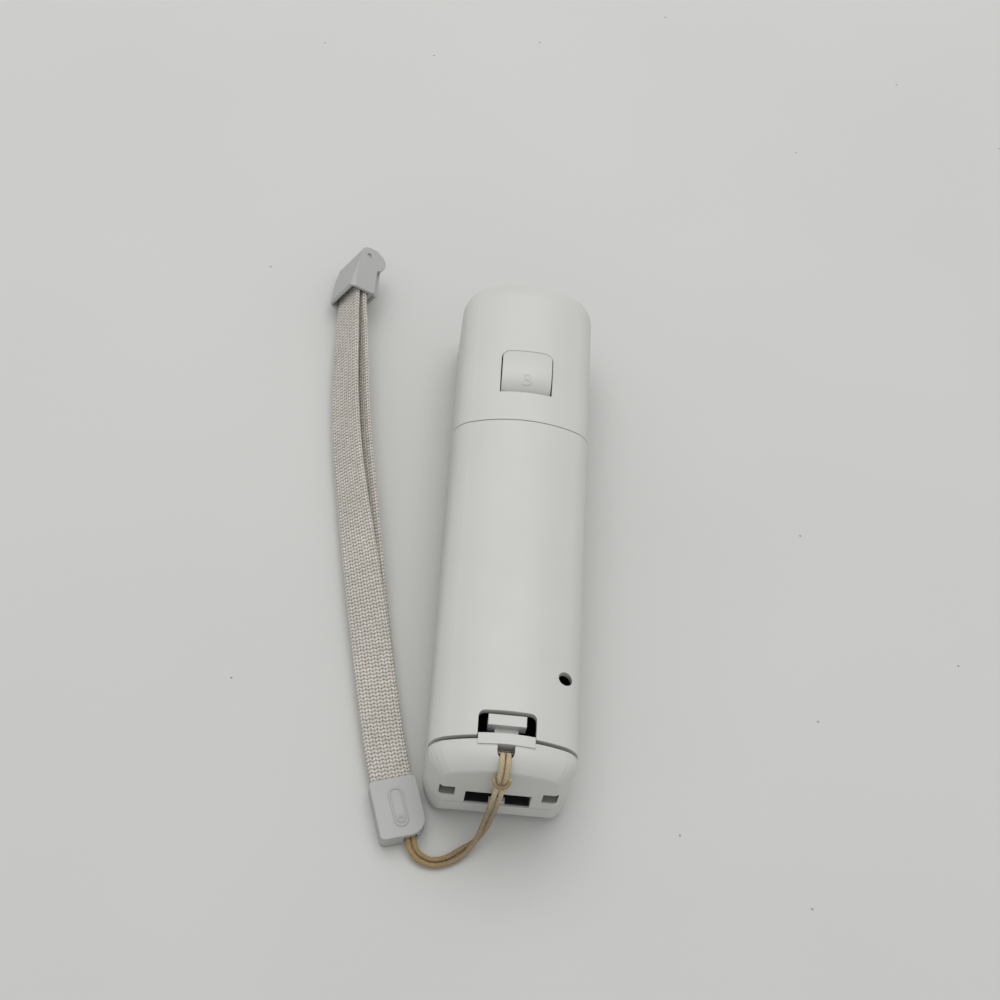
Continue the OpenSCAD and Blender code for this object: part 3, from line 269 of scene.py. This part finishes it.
def web_outline():
    """Points round the webbing's cross-section with their outward directions."""
    edge = WEB_T / 2
    half = WEB_W / 2 - edge
    bend = math.pi * edge
    total = 4 * half + 2 * bend
    count = KNIT_COLUMNS * KNIT_PER_COLUMN
    found = []
    for step in range(count):
        s = total * step / count
        if s < 2 * half:
            found.append((-half + s, edge, 0.0, 1.0))
        elif s < 2 * half + bend:
            turn = math.pi / 2 - (s - 2 * half) / edge
            found.append((half + edge * math.cos(turn), edge * math.sin(turn),
                          math.cos(turn), math.sin(turn)))
        elif s < 4 * half + bend:
            found.append((half - (s - 2 * half - bend), -edge, 0.0, -1.0))
        else:
            turn = -math.pi / 2 - (s - 4 * half - bend) / edge
            found.append((-half + edge * math.cos(turn), edge * math.sin(turn),
                          math.cos(turn), math.sin(turn)))
    return found


def knit(column_place, row_place):
    """Height from 0 to 1 of a stitch: each column is a chain of V shapes with two arms."""
    arm = abs(2 * (column_place - math.floor(column_place)) - 1)
    x = 2 * arm - 1
    slanted = row_place + KNIT_SLANT * arm
    y = 2 * (slanted - math.floor(slanted)) - 1
    round_x = math.sqrt(max(0.0, 1 - abs(x) ** 3))
    round_y = math.sqrt(max(0.0, 1 - y * y))
    return (KNIT_EDGE + (1 - KNIT_EDGE) * round_x) * round_y


def webbing(name, upper):
    """One layer of the knitted webbing, the line that it follows, and its length."""
    rows = spline(WEB_ROUTE, WEB_SPLINE_STEPS)
    plan = tangents([(row[0], row[1], 0.0) for row in rows])
    line = []
    for row, t in zip(rows, plan):
        x, y, roll_deg, apart, lift = row
        roll = math.radians(roll_deg)
        side = Vector((t.y, -t.x, 0.0))
        low = WEB_W / 2 * math.sin(roll) + (WEB_T / 2 + WEB_FLOOR) * math.cos(roll) + lift
        at = Vector((x, y, low))
        if upper:
            at += Vector((0, 0, WEB_STEP * math.cos(roll)))
        else:
            at += apart * math.sin(roll) * side
        line.append((at.x, at.y, at.z, roll, side.x, side.y))
    path, length = evenly(line, KNIT_STEP)
    outline = web_outline()
    rings, relief, run = [], [], []
    for index, (x, y, z, roll, side_x, side_y) in enumerate(path):
        side = Vector((side_x, side_y, 0.0)).normalized()
        across = math.cos(roll) * side + Vector((0, 0, math.sin(roll)))
        up = Vector((0, 0, math.cos(roll))) - math.sin(roll) * side
        place = length * index / (len(path) - 1) / KNIT_ROW
        ring = []
        for step, (w, h, nw, nh) in enumerate(outline):
            rise = knit(step / KNIT_PER_COLUMN + 0.5, place)
            drop = KNIT_DEPTH * (1 - rise)
            point = Vector((x, y, z)) + (w - nw * drop) * across + (h - nh * drop) * up
            ring.append(point)
            relief.append(rise)
            run.append(index / (len(path) - 1))
        rings.append(ring)
    return swept(name, rings, {"relief": relief, "along": run}), path, length


def letter(name, text, height, thick, place):
    """A raised letter as a mesh, laid by a matrix in metres."""
    curve = bpy.data.curves.new(name, "FONT")
    curve.body = text
    curve.size = height * MM / LETTER_CAP
    curve.align_x = "CENTER"
    curve.align_y = "CENTER"
    curve.extrude = thick * MM / 2
    curve.bevel_depth = thick * MM * LETTER_BEVEL
    curve.bevel_resolution = 1
    curve.resolution_u = LETTER_CURVE_STEPS
    draft = bpy.data.objects.new(name + "_draft", curve)
    bpy.context.collection.objects.link(draft)
    bpy.context.view_layer.update()
    mesh = bpy.data.meshes.new_from_object(draft.evaluated_get(bpy.context.evaluated_depsgraph_get()))
    bpy.data.objects.remove(draft)
    mesh.transform(place)
    made = bpy.data.objects.new(name, mesh)
    bpy.context.collection.objects.link(made)
    return made


def flat_sign(name, loops, thick, place):
    """Flat outlines with a thickness, laid by a matrix in metres."""
    verts, faces = [], []
    for loop in loops:
        start = len(verts)
        count = len(loop)
        for z in (-thick / 2, thick / 2):
            verts += [(x * MM, y * MM, z * MM) for x, y in loop]
        faces.append(tuple(start + count + step for step in range(count)))
        faces.append(tuple(start + count - 1 - step for step in range(count)))
        for step in range(count):
            nxt = (step + 1) % count
            faces.append((start + step, start + nxt, start + count + nxt, start + count + step))
    mesh = bpy.data.meshes.new(name)
    mesh.from_pydata(verts, [], faces)
    mesh.transform(place)
    made = bpy.data.objects.new(name, mesh)
    bpy.context.collection.objects.link(made)
    return made


def arc(radius, start_deg, end_deg, count):
    angles = [math.radians(start_deg + (end_deg - start_deg) * step / count) for step in range(count + 1)]
    return [(radius * math.cos(angle), radius * math.sin(angle)) for angle in angles]


def on_face(node):
    """Place on the middle of a button's face, read from below with the far end up."""
    low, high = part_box(node)
    middle = Vector(((low[0] + high[0]) / 2, (low[1] + high[1]) / 2, low[2]))
    return Matrix.Translation(middle) @ Matrix.Rotation(math.pi, 4, "Y")


# Outlines of the signs, in millimetres
HOUSE = [(-1.0, -0.9), (1.0, -0.9), (1.0, 0.15), (1.35, 0.15), (0, 1.35), (-1.35, 0.15), (-1.0, 0.15)]
PLUS = [(-1.2, -0.2), (-0.2, -0.2), (-0.2, -1.2), (0.2, -1.2), (0.2, -0.2), (1.2, -0.2),
        (1.2, 0.2), (0.2, 0.2), (0.2, 1.2), (-0.2, 1.2), (-0.2, 0.2), (-1.2, 0.2)]
MINUS = [(-1.2, -0.2), (1.2, -0.2), (1.2, 0.2), (-1.2, 0.2)]
POWER_FROM = 130
POWER_TO = 410
POWER_STEPS = 28
POWER_RING = arc(1.0, POWER_FROM, POWER_TO, POWER_STEPS) + arc(0.74, POWER_TO, POWER_FROM, POWER_STEPS)
POWER_BAR = [(-0.13, 0.25), (0.13, 0.25), (0.13, 1.15), (-0.13, 1.15)]


# Materials

def new_material(name):
    material = bpy.data.materials.new(name)
    material.use_nodes = True
    return material, material.node_tree, material.node_tree.nodes["Principled BSDF"]


def add(tree, kind, inputs=None, **settings):
    made = tree.nodes.new(kind)
    for key, value in settings.items():
        setattr(made, key, value)
    for key, value in (inputs or {}).items():
        made.inputs[key].default_value = value
    return made


def place_of(tree):
    return add(tree, "ShaderNodeTexCoord").outputs["Object"]


def noise(tree, scale, detail=2.0):
    made = add(tree, "ShaderNodeTexNoise", {"Scale": scale, "Detail": detail, "Roughness": 0.5})
    tree.links.new(place_of(tree), made.inputs["Vector"])
    return made.outputs["Fac"]


def spread(tree, value, low, high, new_low, new_high):
    made = add(tree, "ShaderNodeMapRange", {
        "From Min": low, "From Max": high, "To Min": new_low, "To Max": new_high})
    tree.links.new(value, made.inputs["Value"])
    return made.outputs["Result"]


def ramp(tree, value, stops):
    made = add(tree, "ShaderNodeValToRGB")
    line = made.color_ramp.elements
    line[0].position, line[0].color = stops[0][0], (*stops[0][1], 1)
    line[1].position, line[1].color = stops[-1][0], (*stops[-1][1], 1)
    for position, colour in stops[1:-1]:
        line.new(position).color = (*colour, 1)
    tree.links.new(value, made.inputs["Fac"])
    return made.outputs["Color"]


def blended(tree, share, base, over, mode="MIX"):
    made = add(tree, "ShaderNodeMix", data_type="RGBA", blend_type=mode)
    for value, index in ((share, MIX_SHARE), (base, MIX_BASE), (over, MIX_OVER)):
        socket = made.inputs[index]
        if isinstance(value, bpy.types.NodeSocket):
            tree.links.new(value, socket)
        elif isinstance(value, tuple):
            socket.default_value = (*value, 1)
        else:
            socket.default_value = value
    return made.outputs[MIX_RESULT]


def multiplied(tree, a, b):
    made = add(tree, "ShaderNodeMath", operation="MULTIPLY")
    tree.links.new(a, made.inputs[0])
    tree.links.new(b, made.inputs[1])
    return made.outputs["Value"]


def bumped(tree, shader, height, depth, edge=0.0):
    made = add(tree, "ShaderNodeBump", {"Strength": 1.0, "Distance": depth})
    tree.links.new(height, made.inputs["Height"])
    if edge:
        soft = add(tree, "ShaderNodeBevel", {"Radius": edge}, samples=6)
        tree.links.new(soft.outputs["Normal"], made.inputs["Normal"])
    tree.links.new(made.outputs["Normal"], shader.inputs["Normal"])


def tinted(colour, share):
    return tuple(max(0.0, min(1.0, c * share)) for c in colour)


def specks(tree, scale, size, keep, dimensions="3D"):
    """Sparse dots as a mask."""
    cells = add(tree, "ShaderNodeTexVoronoi", {"Scale": scale, "Randomness": 1.0},
                voronoi_dimensions=dimensions)
    tree.links.new(place_of(tree), cells.inputs["Vector"])
    dots = spread(tree, cells.outputs["Distance"], size, size * SPECK_FADE, 1.0, 0.0)
    split = add(tree, "ShaderNodeSeparateColor")
    tree.links.new(cells.outputs["Color"], split.inputs["Color"])
    chosen = spread(tree, split.outputs["Red"], keep, keep + SPECK_CHANCE, 1.0, 0.0)
    return multiplied(tree, dots, chosen)


def painted_pocket_shade_mask(tree):
    """Mask of the inside of the two pockets in the end face, where the shell gets painted shade."""
    split = add(tree, "ShaderNodeSeparateXYZ")
    tree.links.new(place_of(tree), split.inputs["Vector"])
    mirrored = add(tree, "ShaderNodeMath", operation="ABSOLUTE")
    tree.links.new(split.outputs["X"], mirrored.inputs[0])
    places = (mirrored.outputs["Value"], split.outputs["Y"], split.outputs["Z"])
    within = []
    for place, middle, reach in zip(places, POCKET_AT, POCKET_HALF):
        test = add(tree, "ShaderNodeMath", {1: middle * MM, 2: reach * MM}, operation="COMPARE")
        tree.links.new(place, test.inputs[0])
        within.append(test.outputs["Value"])
    return multiplied(tree, multiplied(tree, within[0], within[1]), within[2])


def plastic(name, colour, roughness, drift=0.03, grain=2200.0, depth=0.000012, edge=0.00022,
            dust=None, pocket_shade=None):
    """Moulded plastic: slow drift of tone, fine grain, soft edges, specks, and painted shade inside the end
    face's pockets.
    """
    material, tree, shader = new_material(name)
    tone = ramp(tree, noise(tree, 42.0, 3.0), [
        (0.3, tinted(colour, 1 - drift)), (0.7, tinted(colour, 1 + drift))])
    if dust:
        tone = blended(tree, specks(tree, scale=95.0, size=0.013, keep=0.45), tone, dust)
    # Painted shade inside the end face's pockets, darkening their inner faces
    if pocket_shade:
        tone = blended(tree, painted_pocket_shade_mask(tree), tone, pocket_shade)
    tree.links.new(tone, shader.inputs["Base Color"])
    gloss = spread(tree, noise(tree, 130.0, 4.0), 0.3, 0.7, roughness - 0.05, roughness + 0.07)
    tree.links.new(gloss, shader.inputs["Roughness"])
    shader.inputs["Specular IOR Level"].default_value = 0.5
    bumped(tree, shader, noise(tree, grain), depth, edge)
    return material


def metal(name, colour, roughness):
    """Plated metal with a mottled tone and gloss."""
    material, tree, shader = new_material(name)
    tone = ramp(tree, noise(tree, 240.0, 4.0), [
        (0.3, tinted(colour, 0.82)), (0.7, tinted(colour, 1.05))])
    tree.links.new(tone, shader.inputs["Base Color"])
    shader.inputs["Metallic"].default_value = 1.0
    gloss = spread(tree, noise(tree, 900.0, 3.0), 0.3, 0.7, roughness - 0.08, roughness + 0.1)
    tree.links.new(gloss, shader.inputs["Roughness"])
    bumped(tree, shader, noise(tree, 3200.0, 2.0), 0.000006)
    return material


def circuit_board():
    """Green resist with paler tracks and small pads."""
    material, tree, shader = new_material("board_green")
    tracks = add(tree, "ShaderNodeTexBrick", {
        "Scale": 190.0, "Mortar Size": 0.028, "Color1": (0.012, 0.095, 0.05, 1),
        "Color2": (0.016, 0.115, 0.06, 1), "Mortar": (0.04, 0.2, 0.1, 1)})
    tree.links.new(place_of(tree), tracks.inputs["Vector"])
    pads = specks(tree, scale=420.0, size=0.2, keep=0.35)
    tone = blended(tree, pads, tracks.outputs["Color"], (0.55, 0.42, 0.2))
    tree.links.new(tone, shader.inputs["Base Color"])
    shader.inputs["Roughness"].default_value = 0.38
    bumped(tree, shader, tracks.outputs["Fac"], 0.00002)
    return material


def clear_plastic():
    material, tree, shader = new_material("clear_guide")
    tone = ramp(tree, noise(tree, 160.0), [(0.3, (0.8, 0.84, 0.88)), (0.7, (0.9, 0.92, 0.94))])
    tree.links.new(tone, shader.inputs["Base Color"])
    shader.inputs["Transmission Weight"].default_value = 0.85
    shader.inputs["Roughness"].default_value = 0.22
    bumped(tree, shader, noise(tree, 1500.0), 0.00001)
    return material


def cell_sleeve():
    """Plain dark sleeve, a little paler toward the far end, with small worn specks."""
    material, tree, shader = new_material("cell_sleeve")
    split = add(tree, "ShaderNodeSeparateXYZ")
    tree.links.new(place_of(tree), split.inputs["Vector"])
    tone = ramp(tree, spread(tree, split.outputs["Y"], *SLEEVE_FADE, 0.0, 1.0), [
        (0.0, (0.02, 0.02, 0.022)), (1.0, (0.025, 0.025, 0.028))])
    worn = specks(tree, scale=300.0, size=0.05, keep=0.3)
    wear = blended(tree, worn, tone, (0.3, 0.29, 0.27))
    tree.links.new(wear, shader.inputs["Base Color"])
    shader.inputs["Roughness"].default_value = 0.3
    bumped(tree, shader, noise(tree, 500.0), 0.00002)
    return material


def yarn_field(tree, name):
    return add(tree, "ShaderNodeAttribute", attribute_name=name).outputs["Fac"]


def knit_yarn():
    """Beige grey yarn with pale and pinkish stitches, with painted shade between the stitches and a painted
    highlight on their crests.
    """
    material, tree, shader = new_material("webbing_yarn")
    tone = ramp(tree, noise(tree, 900.0, 3.0), [
        (0.28, (0.59, 0.57, 0.52)), (0.45, (0.68, 0.66, 0.605)), (0.58, (0.75, 0.705, 0.67)),
        (0.74, (0.80, 0.79, 0.74))])
    slow = ramp(tree, noise(tree, 70.0), [(0.3, (0.9, 0.89, 0.87)), (0.7, (1.0, 0.985, 0.97))])
    tone = blended(tree, 1.0, tone, slow, "MULTIPLY")
    # Painted shade in the gaps between stitches and a painted highlight on their crests, following the
    # relief
    painted_relief_shading = ramp(tree, yarn_field(tree, "relief"), [
        (0.0, (0.12, 0.115, 0.105)), (0.5, (0.5, 0.49, 0.47)), (0.85, (0.92, 0.92, 0.91)),
        (1.0, (1.05, 1.05, 1.05))])
    tone = blended(tree, 1.0, tone, painted_relief_shading, "MULTIPLY")
    tree.links.new(tone, shader.inputs["Base Color"])
    shader.inputs["Roughness"].default_value = 0.86
    shader.inputs["Specular IOR Level"].default_value = 0.2
    shader.inputs["Sheen Weight"].default_value = 0.25
    bumped(tree, shader, noise(tree, 5200.0, 3.0), 0.00006)
    return material


def cord_yarn():
    """Braided cord, cream at the body, then beige, and golden at the strap; the palest band below the hitch
    is painted light, and the dark between strands is painted shade.
    """
    material, tree, shader = new_material("cord_yarn")
    # The stop at 0.29 is painted light: a paler band below the hitch, where the cord hangs in the end
    # face's shade
    tone = ramp(tree, yarn_field(tree, "along"), [
        (0.0, (0.60, 0.50, 0.32)), (0.18, (0.57, 0.475, 0.31)), (0.29, (0.68, 0.58, 0.42)),
        (0.45, (0.40, 0.33, 0.23)), (0.72, (0.36, 0.27, 0.16)), (1.0, (0.44, 0.31, 0.14))])
    flecks = ramp(tree, noise(tree, 2400.0, 3.0), [
        (0.3, (0.72, 0.68, 0.62)), (0.6, (1.0, 1.0, 1.0)), (0.75, (1.15, 1.12, 1.05))])
    tone = blended(tree, 1.0, tone, flecks, "MULTIPLY")
    # Painted shade in the grooves between the braid's strands
    painted_relief_shading = ramp(tree, yarn_field(tree, "relief"), [
        (0.1, (0.72, 0.69, 0.64)), (0.6, (0.94, 0.93, 0.92)), (1.0, (1.0, 1.0, 1.0))])
    tone = blended(tree, 1.0, tone, painted_relief_shading, "MULTIPLY")
    tree.links.new(tone, shader.inputs["Base Color"])
    shader.inputs["Roughness"].default_value = 0.8
    shader.inputs["Specular IOR Level"].default_value = 0.25
    bumped(tree, shader, noise(tree, 6500.0, 2.0), 0.00004)
    return material


def floor_paint():
    material, tree, shader = new_material("floor_paint")
    tone = ramp(tree, noise(tree, 9.0, 2.0), [
        (0.3, tinted(FLOOR_GREY, 0.985)), (0.7, tinted(FLOOR_GREY, 1.015))])
    dirt = specks(tree, scale=26.0, size=0.0065, keep=0.24, dimensions="2D")
    tone = blended(tree, dirt, tone, (0.33, 0.33, 0.33))
    tree.links.new(tone, shader.inputs["Base Color"])
    shader.inputs["Roughness"].default_value = 0.85
    shader.inputs["Specular IOR Level"].default_value = 0.1
    return material


MATERIALS = {
    # The shell's darker colour for the pockets is painted shade inside them
    "shell_white": plastic("shell_plastic", (0.580, 0.585, 0.556), 0.38, drift=0.018,
                           dust=(0.36, 0.33, 0.28), pocket_shade=(0.30, 0.303, 0.288)),
    "button_white": plastic("button_plastic", (0.572, 0.577, 0.549), 0.34, drift=0.02),
    "black_plastic": plastic("black_plastic", (0.014, 0.014, 0.015), 0.42, drift=0.2),
    "strap_grey": plastic("strap_plastic", (0.42, 0.425, 0.41), 0.42, grain=2600.0,
                          depth=0.00001, edge=0.0004),
    "webbing": knit_yarn(),
    "cord": cord_yarn(),
    "board": circuit_board(),
    "rubber": plastic("rubber_sheet", (0.18, 0.185, 0.19), 0.72, drift=0.08, grain=1500.0, depth=0.00002),
    "steel": metal("plated_steel", (0.62, 0.61, 0.59), 0.32),
    "gold": metal("gold_plate", (0.83, 0.60, 0.26), 0.28),
    "clear": clear_plastic(),
    "dark_window": plastic("dark_window", (0.006, 0.005, 0.008), 0.12, drift=0.2, grain=900.0,
                           depth=0.000003),
    "cell_sleeve": cell_sleeve(),
    "sync_red": plastic("sync_plastic", (0.5, 0.03, 0.025), 0.4, drift=0.06),
}

# Solids from the frame
for part in frame["record"]["subparts"]:
    solid = frame["nodes"][part["node"]]
    solid.data.materials.clear()
    solid.data.materials.append(MATERIALS[part["material_slot"]])
    solid.data.shade_smooth()
    solid.data.set_sharp_from_angle(angle=SHARP_ANGLE)

# Cords and webbing
inner, inner_path, inner_length = braided(
    "cord_inner_yarn", spline(INNER_ROUTE, CORD_SPLINE_STEPS), CORD_D / 2)
outer, outer_path, outer_length = braided(
    "cord_outer_yarn", spline(OUTER_ROUTE, CORD_SPLINE_STEPS), CORD_D / 2)
hitch_line = []
for step in range(HITCH_STEPS + 1):
    angle = 2 * math.pi * step / HITCH_STEPS
    hitch_line.append((
        HITCH_AT[0] + HITCH_A * math.cos(angle),
        HITCH_AT[1] + HITCH_B * math.sin(angle),
        HITCH_AT[2] + HITCH_EAR * math.cos(2 * angle)))
hitch, _, _ = braided("cord_hitch_yarn", hitch_line, HITCH_R, closed=True)
upper, upper_path, upper_length = webbing("web_upper_knit", True)
lower, lower_path, lower_length = webbing("web_lower_knit", False)

for made, node, kind in (
        (inner, "cord_inner", "cord"), (outer, "cord_outer", "cord"), (hitch, "cord_hitch", "cord"),
        (upper, "web_upper", "webbing"), (lower, "web_lower", "webbing")):
    made.data.materials.append(MATERIALS[kind])
    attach(made, ROOT)
    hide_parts(node)

# Letters and signs
trigger_letter = letter("trigger_letter", "B", TRIGGER_LETTER_H, TRIGGER_LETTER_T, Matrix.Identity(4))
for vertex in trigger_letter.data.vertices:
    turn = TRIGGER_LETTER_TURN - vertex.co.y / (TRIGGER_ROLL_R * MM)
    reach = TRIGGER_ROLL_R * MM + vertex.co.z
    vertex.co.y = TRIGGER_MID_Y * MM - reach * math.sin(turn)
    vertex.co.z = (TRIGGER_TOP - TRIGGER_ROLL_R) * MM + reach * math.cos(turn)
trigger_letter.data.materials.append(MATERIALS["button_white"])
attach(trigger_letter, "b_trigger")

signs = {}
for node, text, height in (("a_button", "A", 4.4), ("one_button", "1", 3.2), ("two_button", "2", 3.2)):
    signs[node] = letter(node + "_sign", text, height, SIGN_THICK, on_face(node))
for node, loops in (("home_button", [HOUSE]), ("plus_button", [PLUS]), ("minus_button", [MINUS]),
                    ("power_button", [POWER_RING, POWER_BAR])):
    signs[node] = flat_sign(node + "_sign", loops, SIGN_THICK, on_face(node))
for node, sign in signs.items():
    sign.data.materials.append(MATERIALS["strap_grey"])
    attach(sign, node)

# Floor, light and camera
floor_corners = [(x * FLOOR_HALF, y * FLOOR_HALF, FLOOR_Z) for x, y in ((-1, -1), (1, -1), (1, 1), (-1, 1))]
floor_mesh = bpy.data.meshes.new("floor")
floor_mesh.from_pydata(floor_corners, [], [(0, 1, 2, 3)])
floor_mesh.materials.append(floor_paint())
floor = bpy.data.objects.new("floor", floor_mesh)
bpy.context.collection.objects.link(floor)

lamp_data = bpy.data.lights.new("soft_lamp", "AREA")
lamp_data.size = LAMP_SIZE
lamp_data.energy = LAMP_WATTS
lamp = bpy.data.objects.new("soft_lamp", lamp_data)
lamp.location = LAMP_AT
lamp.rotation_euler = (-Vector(LAMP_AT)).to_track_quat("-Z", "Y").to_euler()
bpy.context.collection.objects.link(lamp)

world = bpy.data.worlds.new("sky")
world.use_nodes = True
sky = world.node_tree.nodes["Background"]
way = add(world.node_tree, "ShaderNodeTexCoord").outputs["Generated"]
way_split = add(world.node_tree, "ShaderNodeSeparateXYZ")
world.node_tree.links.new(way, way_split.inputs["Vector"])
strength = spread(world.node_tree, way_split.outputs["Z"], 0.0, 1.0, SKY_HORIZON, SKY_TOP)
world.node_tree.links.new(strength, sky.inputs["Strength"])
sky.inputs["Color"].default_value = (1.0, 1.0, 1.0, 1)
bpy.context.scene.world = world

yaw = math.radians(CAMERA_YAW)
pitch = math.radians(CAMERA_PITCH)
roll = math.radians(CAMERA_ROLL)
ahead = Vector((math.sin(yaw) * math.cos(pitch), math.cos(yaw) * math.cos(pitch), -math.sin(pitch)))
level = Vector((math.cos(yaw), -math.sin(yaw), 0))
above = level.cross(ahead)
right = math.cos(roll) * level + math.sin(roll) * above
top = math.cos(roll) * above - math.sin(roll) * level
camera_data = bpy.data.cameras.new("camera")
camera_data.lens = CAMERA_LENS
camera_data.sensor_width = CAMERA_SENSOR
camera_data.clip_start = CAMERA_NEAR * MM
camera = bpy.data.objects.new("camera", camera_data)
camera.matrix_world = (Matrix.Translation(Vector(CAMERA_AT) * MM)
                       @ Matrix((right, top, -ahead)).transposed().to_4x4())
bpy.context.collection.objects.link(camera)
bpy.context.scene.camera = camera
bpy.context.scene.view_settings.view_transform = "Standard"
